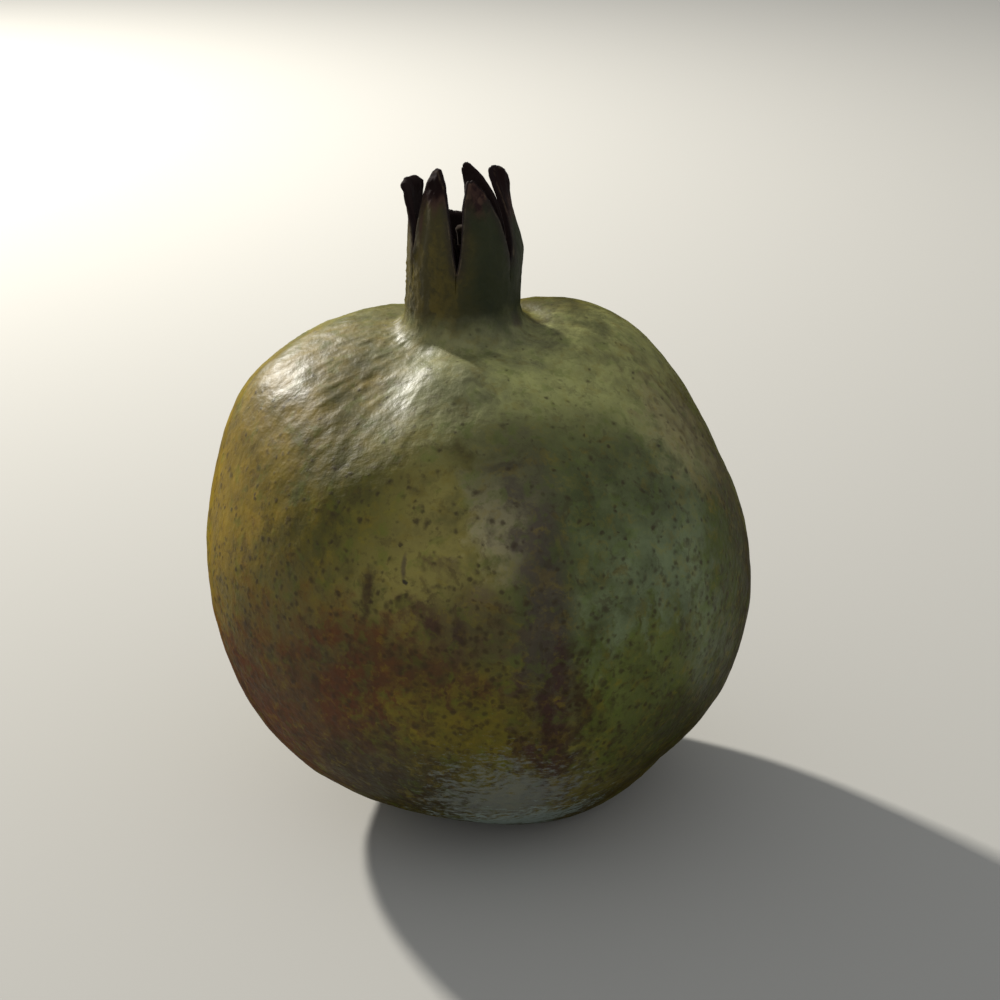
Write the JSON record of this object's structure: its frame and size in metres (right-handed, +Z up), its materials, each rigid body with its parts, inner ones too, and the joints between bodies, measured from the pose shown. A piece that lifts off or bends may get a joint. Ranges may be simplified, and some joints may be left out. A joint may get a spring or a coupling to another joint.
{
  "type": "pomegranate",
  "caption": "Whole fresh pomegranate with a leathery rind and an upright crown of dried sepals, standing on the flat ring at its stalk end.",
  "frame": {"origin": "on the surface the fruit rests on, under the middle of its bounding box", "axes": "+Z up along the fruit, from the stalk end to the crown; -Y is the side that the picture shows, +X is its right"},
  "size_m": [0.09, 0.0864, 0.1101],
  "materials": {
    "rind": "satin",
    "withered_stamens": "matte"
  },
  "bodies": {
    "root": {"fruit": "rind", "stamens": "withered_stamens"}
  },
  "joints": []
}
